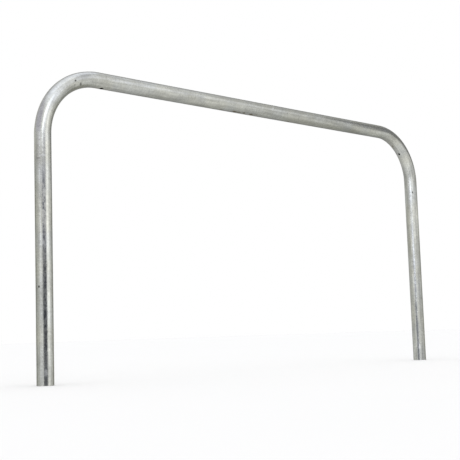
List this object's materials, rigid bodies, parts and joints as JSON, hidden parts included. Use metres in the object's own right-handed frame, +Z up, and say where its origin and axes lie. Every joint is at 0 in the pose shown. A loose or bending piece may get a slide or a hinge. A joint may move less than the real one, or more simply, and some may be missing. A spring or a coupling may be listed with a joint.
{
  "type": "hoop barrier",
  "caption": "Hoop barrier of galvanised steel tube bent into a wide inverted U, with plain square-cut legs to set in the ground and a round rail that keeps vehicles and trolleys out.",
  "frame": {"origin": "midway between the two legs, at the level of their cut ends", "axes": "+X across the hoop towards the leg whose bend holds a vent hole, +Y through the thickness of the hoop, +Z up from the cut ends to the rail"},
  "size_m": [2.13, 0.0602, 1.125],
  "materials": {
    "galvanised_steel": "hot-dip galvanised, satin grey with faint spangle",
    "plug_plastic": "matt black moulded plastic"
  },
  "bodies": {
    "root": {"hoop_tube": "galvanised_steel", "left_end_plug": "plug_plastic", "right_end_plug": "plug_plastic"}
  },
  "joints": []
}
